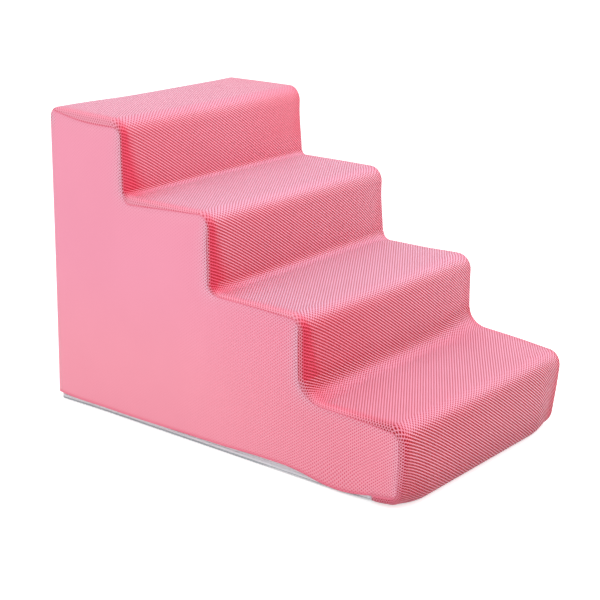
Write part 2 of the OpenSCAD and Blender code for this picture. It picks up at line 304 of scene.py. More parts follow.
def make_mesh(name, points, faces, **layers):
    """A mesh object. Each layer holds two values for each point, kept as a layer of UV places."""
    mesh = bpy.data.meshes.new(name)
    mesh.from_pydata(np.asarray(points).tolist(), [], faces)
    corner = np.zeros(len(mesh.loops), np.int32)
    mesh.loops.foreach_get("vertex_index", corner)
    for layer_name, values in layers.items():
        layer = mesh.uv_layers.new(name=layer_name)
        layer.uv.foreach_set("vector", np.asarray(values, np.float32)[corner].ravel())
    solid = bmesh.new()
    solid.from_mesh(mesh)
    bmesh.ops.recalc_face_normals(solid, faces=solid.faces)
    solid.to_mesh(mesh)
    solid.free()
    mesh.shade_smooth()
    return add_object(name, mesh)


def shell(name, points, outward, faces, thickness, **layers):
    """A closed piece of cloth: its outer face, an inner face that far inside, and a rim."""
    points, outward = np.asarray(points), np.asarray(outward)
    count = len(points)
    inner = points - outward * thickness
    every = [list(f) for f in faces]
    back = [[i + count for i in reversed(f)] for f in every]
    rim = [[b, a, a + count, b + count] for a, b in rim_of(every)]
    both = {key: np.vstack([values, values]) for key, values in layers.items()}
    return make_mesh(name, np.vstack([points, inner]), every + back + rim, **both)


# How the cloth lies on the foam


def ramp(value, low, high):
    share = np.clip((value - low) / (high - low), 0, 1)
    return share * share * (3 - 2 * share)


def to_edge(value, reach, edge=HALF_W):
    """0 at this reach before an edge, 1 at the edge."""
    return ramp(value, edge - reach, edge)


def fading(value, start, stop):
    return 1 - ramp(value, start, stop)


def hump(value, middle, reach):
    return ramp(reach - np.abs(value - middle), 0, reach)


# At the back: out at the foot, in and up at the top
BACK_REACH = 90 * MM
BACK_FOOT_OUT = 2.3 * MM
BACK_TOP_IN = 4 * MM
BACK_TOP_LIFT = 3 * MM
BACK_LIFT_START = (20 * MM, 120 * MM, 200 * MM)
TOP_RISE = 3 * MM

# Along the right front edges, for each step: in towards the middle of each rise, and down at the edge
DRAWN_IN = np.array((12.1, 0.7, 4.8, 4.4)) * MM
DRAWN_REACH = 80 * MM
RIGHT_SINK = np.array((1.8, 2.5, 0.6, -0.6)) * MM
RIGHT_REACH = 60 * MM
SINK_REACH = 35 * MM
NOSE_PEAK = 1.2 * MM

# At the front's foot: in from the right and the left, back and up
FOOT_PINCH = (10.9 * MM, 5.8 * MM)
FOOT_REACH = (70 * MM, 48 * MM)
FOOT_BACK = 9 * MM
FOOT_LIFT = 1 * MM
FOOT_TIP_LIFT = 2.6 * MM
FOOT_TIP_REACH = 30 * MM
FOOT_HEIGHT = 60 * MM
PINCH_DEPTH = 45 * MM
PINCH_HEIGHT = 75 * MM

# At the right of the first inner corner, where the cover spans it
WEB_LIFT = 9 * MM
WEB_DEPTH = 125 * MM
WEB_HEIGHT = 70 * MM
WEB_REACH = 90 * MM


def settle_back(points, x, y, z):
    height = np.clip(z / HEIGHT, 0, 1)
    near = to_edge(-x, BACK_REACH) * to_edge(y, BACK_REACH, HALF_D)
    out = (BACK_FOOT_OUT * (1 - height) - BACK_TOP_IN * height) * near
    points[:, 0] -= out
    points[:, 1] += out
    near_top = 1
    for place, start, end in zip((-x, y, z), BACK_LIFT_START, (HALF_W, HALF_D, HEIGHT)):
        near_top = near_top * ramp(place, start, end)
    points[:, 2] += TOP_RISE * height + BACK_TOP_LIFT * near_top


def settle_right(points, x, y, z):
    right = to_edge(x, RIGHT_REACH)
    for rise, edge, level, drawn in zip(RISES, RISER_Y, TREAD_Z, DRAWN_IN):
        near = ramp(edge + DRAWN_REACH - y, 0, DRAWN_REACH)
        near *= ramp(y, edge - 30 * MM, edge - 10 * MM)
        middle = level - rise / 2 + 15 * MM
        points[:, 0] -= drawn * right * hump(z, middle, RIGHT_REACH) * near
    step = step_under(y)
    sink = RIGHT_SINK[step] * to_edge(x, SINK_REACH)
    points[:, 2] -= sink * to_edge(z, 40 * MM, TREAD_Z[step])
    peak = right * hump(y, RISER_Y[1] + 20 * MM, RIGHT_REACH) * hump(z, TREAD_Z[1], RIGHT_REACH)
    points[:, 0] += NOSE_PEAK * peak
    points[:, 2] += NOSE_PEAK * peak


def settle_foot(points, x, y, z):
    outer = to_edge(np.abs(x), np.where(x > 0, *FOOT_REACH))
    corner = fading(y, -HALF_D, -HALF_D + PINCH_DEPTH) * fading(z, 0, PINCH_HEIGHT) * outer
    points[:, 0] -= np.where(x > 0, FOOT_PINCH[0], -FOOT_PINCH[1]) * corner
    points[:, 1] += FOOT_BACK * corner
    under = fading(y, -HALF_D + 20 * MM, -HALF_D + 100 * MM) * fading(z, 0, FOOT_HEIGHT)
    points[:, 2] += FOOT_LIFT * under * outer
    points[:, 2] += FOOT_TIP_LIFT * under * to_edge(-x, FOOT_TIP_REACH)


def settle_web(points, x, y, z):
    before, over = RISER_Y[1] - y, z - TREAD_Z[0]
    near = np.clip(1 - before / WEB_DEPTH, 0, 1) * np.clip(1 - over / WEB_HEIGHT, 0, 1)
    on_step = ramp(before, -20 * MM, 0) * ramp(over, -30 * MM, -10 * MM)
    points[:, 2] += WEB_LIFT * near * on_step * to_edge(x, WEB_REACH)


def settled(points):
    """How the tight cover pulls the soft foam out of its cut shape: in at its corners, up at the top."""
    points = np.array(points, float)
    cut = points.T.copy()
    for settle in (settle_back, settle_right, settle_foot, settle_web):
        settle(points, *cut)
    return points


def inset_ring(stations, inset):
    """The closed side view, drawn in by this much."""
    steps = stations[:, :2] - stations[:, 2:] * inset
    return np.vstack([steps, [(HALF_D - inset, HEIGHT / 2), (HALF_D - inset, inset)]])


def body_form():
    """The whole covered body as one closed mesh with rounded side edges."""
    stations = steps_line(12 * MM)
    turns = np.radians([90, 60, 30, 0])
    half = [(FLAT_W + EDGE_R * math.sin(t), EDGE_R * (1 - math.cos(t))) for t in turns]
    levels = [(x, inset) for x, inset in half] + [(-x, inset) for x, inset in reversed(half)]
    rings = []
    for x, inset in levels:
        ring = inset_ring(stations, inset)
        rings.append(np.column_stack([np.full(len(ring), x), ring]))
    return make_mesh("body_form", np.vstack(rings), tube_faces(len(rings), len(rings[0])))


CLOTH = dict(
    vertex_group_mass="held",
    quality=4,
    use_pressure=True,
    uniform_pressure_force=4,
    tension_stiffness=20,
    compression_stiffness=20,
    bending_stiffness=2,
)


def simulated_swell():
    """Where the tight cover swells between its seams: rest points and moves of a cloth simulation."""
    swollen = add_object("swell_form", remeshed(body_form(), SWELL_VOXEL))
    rest = points_of(swollen.data)
    held = swollen.vertex_groups.new(name="held")
    for i, (place, near) in enumerate(zip(rest, seam_nearness(rest))):
        weight = 1.0 if place[2] < HELD_BELOW else near
        if weight > 0.01:
            held.add([i], float(weight), "REPLACE")
    settings = swollen.modifiers.new("Cloth", "CLOTH").settings
    for key, value in CLOTH.items():
        setattr(settings, key, value)
    settings.effector_weights.gravity = 0
    scene = bpy.context.scene
    for number in range(1, SWELL_FRAMES + 1):
        scene.frame_set(number)
    graph = bpy.context.evaluated_depsgraph_get()
    moves = points_of(swollen.evaluated_get(graph).to_mesh()) - rest
    bpy.data.objects.remove(swollen)
    scene.frame_set(1)
    largest = np.percentile(np.linalg.norm(moves, axis=1), 98)
    return rest, moves * SWELL / max(largest, 1e-9)


def seam_nearness(points):
    """1 on the seams along both side edges, 0 from 14 mm away."""
    stations = steps_line(EDGE_MESH)
    tree = tree_of(stations[:, :2] - stations[:, 2:] * EDGE_R / 2)
    near = np.array([tree.find((y, z, 0))[2] for _, y, z in points])
    across = HALF_W - np.abs(points[:, 0])
    return fading(np.hypot(np.maximum(near - 4 * MM, 0), across), 3 * MM, 14 * MM)


class Swell:
    """Carries the simulated moves over to any point of the cover."""

    NEIGHBOURS = 8

    def __init__(self):
        self.moves = None
        rest, self.moves = simulated_swell()
        self.tree = tree_of(rest)

    def at(self, points):
        out = np.zeros_like(points)
        if self.moves is None:
            return out
        for k, place in enumerate(points):
            found = self.tree.find_n(place, self.NEIGHBOURS)
            weight = np.array([1 / (f[2] + 2 * MM) ** 2 for f in found])
            out[k] = weight @ self.moves[[f[1] for f in found]] / weight.sum()
        return out


def laid(points, swell):
    """Cover points where they come to lie: swollen by the simulation, then settled."""
    rise = ramp(points[:, 2], HEM_Z, HEM_Z + 25 * MM)[:, None]
    return settled(points + swell.at(points) * rise)


# The cover's panels

TOP_SEAM_Z = HEIGHT - BACK_R - SEAM_GAP


def placed(stations, across):
    """Cover points at these lengths across from the middle, round the side edges and down the sides:
    their places and outward directions, row by row."""
    y, z, ny, nz = (stations[:, k][:, None] for k in range(4))
    side = np.sign(across)
    beyond = np.maximum(np.abs(across) - FLAT_W, 0)
    turn = np.minimum(beyond / EDGE_R, math.pi / 2)
    depth = EDGE_R * (1 - np.cos(turn)) + np.maximum(beyond - EDGE_ARC, 0)
    x = np.clip(across, -FLAT_W, FLAT_W) + side * EDGE_R * np.sin(turn)
    places = np.stack([x, y - ny * depth, z - nz * depth], -1)
    ways = np.stack([side * np.sin(turn), ny * np.cos(turn), nz * np.cos(turn)], -1)
    return places.reshape(-1, 3), ways.reshape(-1, 3)


def strip_columns(arcs):
    """Lengths across the strip at each station, fine at the seams, from one seam to the other."""
    edge = (arcs - SEAM_GAP / 2)[:, None]
    fine = FLAT_W + edge - np.array(FINE_ENDS) * VALLEY_R
    turned_count, flat_count = 7, 44
    turned = FLAT_W + (edge - VALLEY_R) * (1 - np.arange(1, turned_count) / turned_count)
    flat = np.tile(FLAT_W * (1 - 2 * np.arange(flat_count + 1) / flat_count), (len(arcs), 1))
    return np.hstack([fine, turned, flat, -turned[:, ::-1], -fine[:, ::-1]])


def step_strip(swell):
    stations = steps_line()
    along, arcs = lengths_along(stations), seam_arcs(stations)
    across = strip_columns(arcs)
    points, ways = placed(stations, across)
    to_end = np.minimum(along, along[-1] - along)[:, None]
    to_seam = (FLAT_W + arcs - SEAM_GAP / 2)[:, None] - np.abs(across)
    points -= ways * roll_in(np.minimum(to_end, to_seam).ravel())[:, None]
    drag = ROW_DRAG * np.exp((np.abs(across) - FLAT_W) / ROW_DRAG_REACH) * -stations[:, 2][:, None]
    uv = np.column_stack([across.ravel(), (along[:, None] + drag).ravel()])
    shade_and_open = strip_shade_and_open(stations, across, to_seam)
    faces = grid_faces(*across.shape)
    made = shell("step_strip_cloth", laid(points, swell), ways, faces, MESH_T, Cloth=uv, Pull=shade_and_open)
    return made


# Where the strip's turned edge shows a pale rim beside each riser, a painted highlight, with open holes of
# painted shade, past the flat
RIM_START = 5.7 * MM
RIM_FULL = 7.7 * MM
RIM_OPEN = 6.2 * MM

# How open the holes are on each riser and tread. Open holes are dark with painted shade, so the more open
# lower risers are darker
RISER_OPEN = np.array((1.0, 0.8, 0.76, 0.62))
TREAD_OPEN = np.array((0.58, 0.55, 0.48, 0.42))
# More open in the lowest 60 mm: painted shade at the foot
FOOT_OPEN_SHADE = 0.4

# How red each riser is on its left, and the first tread: painted shade
RISER_RED = np.array((0.14, 0.44, 0.14, 0.22))
TREAD_FLUSH = 0.16

# How far the red reaches from a riser's side, high up and more at its foot, and from a corner: painted shade
# beside a side and painted bounce light in a corner
SIDE_RED_REACH = 5 * MM
FOOT_RED_REACH = 26 * MM
CORNER_RED_REACH = 30 * MM
CORNER_RED_WIDTH = 40 * MM


def strip_red(stations, across, to_seam, step, upright):
    """How red the strip is: painted shade beside the sides, along the treads' seams and on the risers' left,
    and painted bounce light in the inner corners.
    """
    over_foot = np.clip((stations[:, 1] - (TREAD_Z - RISES)[step]) / RISES[step], 0, 1)
    inside = FLAT_W - np.abs(across)
    from_rim = np.maximum(inside, 0)
    to_left = fading(across, -FLAT_W / 2, FLAT_W)
    reach = (SIDE_RED_REACH + FOOT_RED_REACH * (1 - over_foot) ** 2)[:, None]
    # Painted shade beside the risers' sides
    beside = np.exp(-((from_rim / reach) ** 2)) * ramp(inside, -RIM_FULL, -RIM_START)
    beside *= np.where((step == 0)[:, None], 0.9 - 0.6 * to_left, 0.3 + 0.7 * to_left)
    corner = np.zeros(len(stations))
    for level, heel in zip(TREAD_Z, RISER_Y[1:]):
        away = np.hypot(stations[:, 0] - heel, stations[:, 1] - level)
        corner = np.maximum(corner, np.exp(-((away / CORNER_RED_REACH) ** 2)))
    flat = 1 - upright
    red = beside * (upright * (1 - 0.2 * over_foot))[:, None]
    red += 0.35 * np.exp(-np.abs(inside) / SIDE_RED_REACH) * flat[:, None]
    red += fading(across, -FLAT_W, 0) * (RISER_RED[step] * upright)[:, None]
    red += fading(across, -FLAT_W, 40 * MM) * (TREAD_FLUSH * flat * (step == 0))[:, None]
    # Painted bounce light in the inner corners
    in_corner = corner[:, None] * (0.06 + 0.75 * np.exp(-from_rim / CORNER_RED_WIDTH) * to_left)
    in_corner *= ramp(inside, -3 * MM, 3 * MM)
    # Painted shade along the treads' seams
    seam = 0.55 * fading(to_seam, 0.4 * MM, 2 * MM) * flat[:, None]
    return np.maximum.reduce([red, in_corner, seam])


def strip_open(stations, across, step, upright):
    """How open the strip's holes are: on risers most, and where it turns down over the sides."""
    on_flat = smoothed(np.where(upright > 0.5, RISER_OPEN[step], TREAD_OPEN[step]), 9)
    # Painted shade at the foot
    on_flat = on_flat + FOOT_OPEN_SHADE * fading(stations[:, 1], 0, 60 * MM)
    on_side = (upright > 0.5)[:, None] * RIM_OPEN
    turned = ramp(np.abs(across) - FLAT_W - on_side, -1 * MM, 1 * MM)
    over_nose = fading(stations[:, 0] - RISER_Y[step], 0.1 * TREAD_D, 0.7 * TREAD_D)
    lowest = step == 0
    on_turned = (0.3 + 0.7 * lowest * over_nose) * (1 - upright) + (0.95 - 0.05 * lowest) * upright
    return on_flat[:, None] * (1 - turned) + on_turned[:, None] * turned


def strip_shade_and_open(stations, across, to_seam):
    """How red the strip is, with painted shade and bounce light, and how open its holes are."""
    step, upright = step_under(stations[:, 0]), stations[:, 2].clip(None, 0) ** 2
    red = strip_red(stations, across, to_seam, step, upright)
    is_open = strip_open(stations, across, step, upright)
    return np.column_stack([red.ravel(), is_open.ravel()])


def side_columns(arcs):
    """Lengths across a side at each station, fine at the seams: from the side's flat to the strip's
    seam, and on round the edge to the back seam. Also how many of them end at the strip's seam."""
    count = 5
    share = np.arange(count) / count
    fine_end = np.array(FINE_ENDS[::-1]) * VALLEY_R
    seam = (FLAT_W + arcs + SEAM_GAP / 2)[:, None]
    border = FLAT_W + np.maximum(EDGE_ARC, arcs + 3 * MM)[:, None]
    first = border + (seam + VALLEY_R - border) * share
    last = FLAT_W + SEAM_GAP
    on = seam + (last + VALLEY_R - seam) * share[1:]
    end = np.tile(last + fine_end, (len(arcs), 1))
    return np.hstack([first, seam + fine_end, on, end]), count + len(FINE_ENDS)


def side_stations(steps):
    """The way along a side's edge, over the steps and down the back, and how far round its seam is."""
    back_z = with_fine_end(TOP_SEAM_Z, HEM_Z + VALLEY_R, EDGE_MESH)
    back_z += [HEM_Z + d * VALLEY_R for d in FINE_ENDS[-2::-1]]
    back = np.array([[HALF_D, z, 1, 0] for z in back_z])
    arcs = seam_arcs(steps)
    return np.vstack([steps, back]), np.concatenate([arcs, np.full(len(back), arcs[-1])])


def from_side_seams(points, across, arcs, on_back):
    """How far each point of a side's edge is from the nearest seam or the hem."""
    height = points[:, 2].reshape(across.shape)
    from_seam = across - (FLAT_W + arcs + SEAM_GAP / 2)[:, None]
    to_seam = np.where(on_back, np.hypot(np.maximum(from_seam, 0), TOP_SEAM_Z - height), from_seam)
    to_back_seam = np.where(on_back, across - FLAT_W - SEAM_GAP, 1)
    to_hem = np.where(on_back, height - HEM_Z, 1)
    return np.minimum.reduce([np.abs(to_seam), to_back_seam, to_hem]).ravel()


def side_edge(stations, across, arcs, keep, on_back):
    """The rounded edge of a side: points, outward directions, places on the flat cloth and faces,
    of which those are kept that are true in keep, and the border where the side's flat begins."""
    points, ways = placed(stations, across)
    points -= ways * roll_in(from_side_seams(points, across, arcs, on_back))[:, None]
    down = across[:, :1] - FLAT_W - EDGE_ARC + EDGE_R
    border = stations[:, :2] - stations[:, 2:] * down
    out = (across[:, :1] - across)[:, :, None]
    uv = (border[:, None, :] + stations[:, None, 2:] * out).reshape(-1, 2)
    keep = keep.ravel()
    new_index = np.cumsum(keep) - 1
    faces = [new_index[face].tolist() for face in grid_faces(*across.shape) if keep[face].all()]
    return points[keep], ways[keep], uv[keep], faces, border


def side_form(stations, arcs, step_count):
    """The right side as it was cut: points, outward directions, places on the flat cloth, faces and
    the border of its flat."""
    across, narrow = side_columns(arcs)
    on_back = (np.arange(len(stations)) >= step_count)[:, None]
    keep = on_back | (np.arange(across.shape[1]) < narrow)
    points, ways, uv, faces, border = side_edge(stations, across, arcs, keep, on_back)
    flat, flat_faces = side_flat(border)
    flat = flat[len(border) :]
    depth = roll_in(np.where(flat[:, 0] > STRIP_END_Y - MM, flat[:, 1] - HEM_Z, 1))
    row_starts = np.cumsum(keep.sum(axis=1)) - keep.sum(axis=1)
    renumber = np.concatenate([row_starts, len(points) + np.arange(len(flat))])
    faces += [renumber[face].tolist() for face in flat_faces]
    points = np.vstack([points, np.column_stack([HALF_W - depth, flat])])
    ways = np.vstack([ways, np.tile([1.0, 0, 0], (len(flat), 1))])
    return points, ways, np.vstack([uv, flat]), faces, border


def side_panel(name, side, swell):
    """One stair-shaped side with the rounded edges that it covers. side is 1 right, -1 left."""
    steps = steps_line()
    stations, arcs = side_stations(steps)
    points, ways, uv, faces, border = side_form(stations, arcs, len(steps))
    if side < 0:
        points[:, 0] *= -1
        ways[:, 0] *= -1
        faces = [f[::-1] for f in faces]
    points = laid(points, swell)
    if side < 0:
        points = sagging_hem(points, uv)
    made = shell(name, points, ways, faces, MESH_T, Cloth=uv, Pull=side_shade_and_open(uv))
    past_seam = np.maximum(EDGE_ARC - arcs, 3 * MM)[: len(steps)].mean()
    polygon_area(border) + past_seam * lengths_along(steps)[-1] + EDGE_ARC * HEIGHT
    return made


def side_shade_and_open(uv):
    """How red a side is at its seam, painted shade, and how open its holes are near the seam."""
    stations = steps_line()
    arcs = seam_arcs(stations)
    round_edge = EDGE_R * (1 - np.cos(np.minimum(arcs / EDGE_R, 2)))
    drop = np.where(arcs < EDGE_ARC, round_edge, arcs - EDGE_ARC + EDGE_R)
    tree = tree_of(stations[:, :2] - stations[:, 2:] * drop[:, None])
    upright = stations[:, 2] ** 2
    shade_and_open = np.zeros((len(uv), 2))
    for k, (y, z) in enumerate(uv):
        _, i, away = tree.find((y, z, 0))
        near_seam = 0.2 + (0.35 if y < RISER_Y[0] + TREAD_D / 2 else 0.7) * upright[i]
        shade_and_open[k] = 0.5 * math.exp(-away / SEAM_RED_REACH), near_seam * math.exp(-away / SEAM_OPEN_REACH)
    return shade_and_open


HEM_OUT = 1 * MM
HEM_SOFT = 28 * MM
HEM_SAG = (
    (-246, 1), (-222, 5), (-196, 7), (-170, 5.4), (-144, 0.5), (-118, -2.6), (-66, -2.2),
    (-14, 0), (60, 1), (140, 2.5), (250, 2.5), (292, 0),
)


def sagging_hem(points, uv):
    """The left hem hangs over the zip towards the front and rides up behind that. HEM_SAG tells how many
    millimetres it hangs down, by millimetres along the stairs."""
    y, z = uv.T
    places, sags = np.array(HEM_SAG).T * MM
    fine = np.linspace(places[0], places[-1], 120)
    even = smoothed(np.interp(fine, places, sags), 9)
    low = fading(z, HEM_Z, HEM_Z + HEM_SOFT)
    points[:, 2] -= np.interp(y, fine, even) * low
    over_zip = np.minimum(ramp(y, -285 * MM, -238 * MM), fading(y, 270 * MM, HALF_D))
    points[:, 0] -= HEM_OUT * low * over_zip
    return points


def polygon_area(points):
    y, z = points[:, 0], points[:, 1]
    return abs((y * np.roll(z, -1) - z * np.roll(y, -1)).sum()) / 2


def side_flat(border):
    """Fills the flat of a side inside its border, with fine rows along the hem."""
    hem_start, hem_end = border[-1], border[0]
    count = round((hem_start[0] - hem_end[0]) / EDGE_MESH)
    hem_y = np.linspace(hem_start[0], STRIP_END_Y, count)[1:]
    hem = np.column_stack([hem_y, np.full(len(hem_y), HEM_Z)])
    outline = np.vstack([border, hem])
    rows = [HEM_Z + d * VALLEY_R for d in FINE_ENDS[1:]] + [HEM_Z + 4 * MM]
    inside = [(y, z) for z in rows for y in hem_y[:-1]]
    tree = tree_of(border)
    for z in np.arange(HEM_Z + 9 * MM, HEIGHT, PANEL_MESH):
        for y in np.arange(-HALF_D + EDGE_R, HALF_D, PANEL_MESH):
            if within(outline, y, z) and tree.find((y, z, 0))[2] > 0.55 * PANEL_MESH:
                inside.append((y, z))
    flat = np.vstack([outline, inside])
    return flat, filled(flat, len(outline))


def within(ring, y, z):
    """Whether a place is inside a closed ring."""
    a, b = ring, np.roll(ring, -1, axis=0)
    spans = (a[:, 1] > z) != (b[:, 1] > z)
    rise = np.where(spans, b[:, 1] - a[:, 1], 1)
    crossing = a[:, 0] + (z - a[:, 1]) / rise * (b[:, 0] - a[:, 0])
    return (spans & (crossing > y)).sum() % 2 == 1


def filled(flat, outline_count):
    """Triangles between flat points, the first of which are the outline."""
    outcome = delaunay_2d_cdt([Vector(p) for p in flat], [], [list(range(outline_count))], 1, 1e-7)
    order = {new: old[-1] for new, old in enumerate(outcome[3])}
    return [[order[i] for i in f] for f in outcome[2]]


def back_panel(swell):
    across = FLAT_W - SEAM_GAP
    half_x = with_fine_end(across, 0, 8 * MM)
    xs = np.array(half_x + [-x for x in reversed(half_x[:-1])])
    middle = (TOP_SEAM_Z + HEM_Z) / 2
    zs = with_fine_end(TOP_SEAM_Z, middle, PANEL_MESH)
    zs += with_fine_end(HEM_Z, middle, PANEL_MESH)[-2::-1]
    x, z = np.meshgrid(xs, zs)
    x, z = x.ravel(), z.ravel()
    distance = np.minimum.reduce([across - np.abs(x), TOP_SEAM_Z - z, z - HEM_Z])
    points = np.column_stack([x, HALF_D - roll_in(distance), z])
    ways = np.tile([0.0, 1, 0], (len(points), 1))
    uv = np.column_stack([x, z])
    faces = grid_faces(len(zs), len(xs))
    # Red along the seams: painted shade
    shade_and_open = np.column_stack([0.5 * np.exp(-distance / SEAM_RED_REACH), 0.3 * np.exp(-distance / (9 * MM))])
    made = shell("back_cloth", laid(points, swell), ways, faces, MESH_T, Cloth=uv, Pull=shade_and_open)
    return made


# Base and zip


def base_line(depth, start_y, spacing=EDGE_MESH):
    """Plan view round the base at this depth: right side, back and left side."""
    side, back, corner = HALF_W - depth, HALF_D - depth, BASE_CORNER_R - depth
    turn_x, turn_y = HALF_W - BASE_CORNER_R, HALF_D - BASE_CORNER_R
    parts = [
        on_line((side, start_y), (side, turn_y), spacing),
        on_arc((turn_x, turn_y), corner, 0, 90, 15),
        on_line((turn_x, back), (-turn_x, back), spacing),
        on_arc((-turn_x, turn_y), corner, 90, 180, 15),
        on_line((-side, turn_y), (-side, start_y), spacing),
        [(-side, start_y, 1, 0)],
    ]
    line = np.vstack(parts)
    line[:, 2:] *= -1
    return line


def zip_band(name, section):
    """A tape round the base. A section point is (depth, height, out, up)."""
    section = np.array(section)
    lines = np.stack([base_line(depth, ZIP_START_Y) for depth in section[:, 0]])
    rows, count, _ = lines.shape
    height, out, up = (np.tile(section[:, k, None], count)[:, :, None] for k in (1, 2, 3))
    points = np.dstack([lines[:, :, :2], height]).reshape(-1, 3)
    ways = np.dstack([lines[:, :, 2:] * out, up]).reshape(-1, 3)
    along, over = np.meshgrid(lengths_along(lines[0]), lengths_along(section))
    uv = np.column_stack([along.ravel(), over.ravel()])
    return shell(name, settled(points), ways, grid_faces(rows, count), TAPE_T, Cloth=uv)


def upper_tape():
    low = ZIP_Z + CHAIN_H
    section = [(TAPE_DEPTH, low + UPPER_TAPE_H * k / 6, 1, 0) for k in range(7)]
    made = zip_band("zip_upper_tape_cloth", section)
    length = lengths_along(base_line(TAPE_DEPTH, ZIP_START_Y))[-1]
    return made


def lower_tape():
    top = ZIP_Z - CHAIN_H
    section = [
        (TAPE_DEPTH, top, 1, 0),
        (TAPE_DEPTH, BASE_T + TAPE_T, 1, 0),
        (TAPE_DEPTH + 0.1 * MM, BASE_T + 0.3 * TAPE_T, 0.8, -0.6),
        (TAPE_DEPTH + 0.4 * MM, BASE_T, 0.2, -1),
        (TAPE_DEPTH + TAPE_T + LOWER_TAPE_FOLD, BASE_T, 0, -1),
    ]
    return zip_band("zip_lower_tape_cloth", section)


def base_cloth():
    """The non-slip base, a closed panel. Round grip dots are under it, and the lower tape is sewn on."""
    line = base_line(BASE_INSET, ZIP_START_Y, BASE_MESH)[:, :2]
    count = round(2 * (HALF_W - BASE_INSET) / BASE_MESH)
    front = np.linspace(line[-1][0], line[0][0], count + 1)[1:-1]
    outline = np.vstack([line, np.column_stack([front, np.full(len(front), ZIP_START_Y)])])
    inside = [
        (x, y)
        for x in np.arange(-HALF_W + 15 * MM, HALF_W - 14 * MM, BASE_MESH)
        for y in np.arange(ZIP_START_Y + 9 * MM, HALF_D - 12 * MM, BASE_MESH)
    ]
    flat = np.vstack([outline, inside])
    faces = filled(flat, len(outline))
    points = np.column_stack([flat, np.full(len(flat), BASE_T)])
    ways = np.tile([0.0, 0, 1], (len(points), 1))
    panel = shell("base_cloth", settled(points), ways, faces, BASE_T - DOT_H, Cloth=flat)
    return panel


def dome(radius, height, sides=8):
    """A low dome that hangs down from zero, with a flat top: points and faces."""
    turns = 2 * math.pi * np.arange(sides) / sides
    rings = [(radius, 0), (0.8 * radius, -0.6 * height)]
    points = [(r * math.cos(turn), r * math.sin(turn), z) for r, z in rings for turn in turns]
    *faces, low_end = tube_faces(2, sides)
    faces += [[a, b, 2 * sides] for a, b in zip(low_end, low_end[1:] + low_end[:1])]
    return np.array(points + [(0, 0, -height)]), faces


def repeated(name, points, faces, places, ways=None):
    """One mesh of many copies of a small form, each turned by its own 3 by 3 matrix if given."""
    every_point, every_face = [], []
    for k, place in enumerate(places):
        copy = points if ways is None else points @ ways[k].T
        every_face += [[i + k * len(points) for i in f] for f in faces]
        every_point.append(copy + place)
    return make_mesh(name, np.vstack(every_point), every_face)


def grip_dots():
    points, faces = dome(DOT_R, DOT_H)
    xs = np.arange(-HALF_W + 12 * MM, HALF_W - 10 * MM, DOT_PITCH)
    ys = np.arange(ZIP_START_Y + 8 * MM, HALF_D - 10 * MM, DOT_PITCH)
    places = [(x + (k % 2) * DOT_PITCH / 2, y, DOT_H) for k, y in enumerate(ys) for x in xs[:-1]]
    return repeated("base_grip_dots", points, faces, np.array(places))


def tooth(low, high):
    """A rounded tooth: X along the zip, Y out of the cover, Z from low to high."""
    half_l, half_t = TOOTH_L / 2, TEETH_T / 2
    ring = [(1, 1 - TOOTH_CORNER), (1 - TOOTH_CORNER, 1), (TOOTH_CORNER - 1, 1), (-1, 1 - TOOTH_CORNER)]
    ring += [(-a, -b) for a, b in ring]
    heights = [(low, 0.75), (low + 0.3 * MM, 1), (high - 0.3 * MM, 1), (high, 0.75)]
    points = [(a * half_l * share, b * half_t * share, z) for z, share in heights for a, b in ring]
    return np.array(points), tube_faces(len(heights), len(ring))


def teeth_row(name, low, high, offset):
    depth = TAPE_DEPTH + TAPE_T / 2
    line = base_line(depth, TEETH_START_Y, 2 * MM)
    along = lengths_along(line)
    at = np.arange(TOOTH_L / 2 + offset, along[-1] - TOOTH_L / 2, TOOTH_PITCH)
    columns = [np.interp(at, along, line[:, k]) for k in range(4)]
    out = np.column_stack(columns[2:])
    out /= np.linalg.norm(out, axis=1)[:, None]
    points, faces = tooth(low, high)
    ways = [np.array([[n[1], n[0], 0], [-n[0], n[1], 0], [0, 0, 1]]) for n in out]
    places = settled(np.column_stack([columns[0], columns[1], np.zeros(len(at))]))
    return repeated(name, points, faces, places, ways)


# Foam


def foam_block(name, node):
    """A cut foam block: the slab's form remeshed, so that its edges are a little worn."""
    mesh = remeshed(add_object(name + "_form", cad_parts[node].data.copy()), FOAM_VOXEL)
    mesh.name = name
    mesh.materials.clear()
    mesh.vertices.foreach_set("co", settled(points_of(mesh)).ravel())
    mesh.shade_smooth()
    made = add_object(name, mesh)
    return made


# Materials

TAPE_WEAVE = (0.8 * MM, 0.9 * MM)
BASE_WEAVE = 1.1 * MM
HOLE_ROUND = 0.35
WORN = (0.5, 0.1, 0.15)

# The strip's tones
# Risers darker on the left with painted shade, paler on the right with painted light
RISER_SHADED_LEFT = (0.99, 0.385, 0.50)
RISER_LIT_RIGHT = (0.99, 0.485, 0.61)
# Treads paler and more lavender than the risers, most on the second and third: painted sheen
TREAD_SHEEN_TONES = ((0.90, 0.38, 0.525), (0.85, 0.415, 0.57), (0.86, 0.37, 0.515))
TURNED_TONE = (0.98, 0.40, 0.53)
# Darker at the strip's foot: painted shade
FOOT_SHADE = (0.62, 0.12, 0.2)
# Pale rim ridges: painted highlight; dark rim holes: painted shade
RIM_HIGHLIGHT = (1.0, 0.72, 0.84)
RIM_HOLE_SHADE = (0.34, 0.003, 0.02)
# Dark in the open holes: painted shade
STRIP_HOLE_SHADE = (0.53, 0.002, 0.013)
# Deep red of painted shade and bounce light, on the ridges and in the holes
RED_SHADE_RIDGE = (0.95, 0.10, 0.18)
RED_SHADE_HOLE = (0.56, 0.003, 0.02)
STRIP_DEPTH = 1.7 * MM
CALM_DEPTH = 0.5 * MM

# The panels' tones, the first of each pair high up and the second low down
PANEL_RIDGES = ((0.97, 0.35, 0.485), (0.98, 0.36, 0.46))
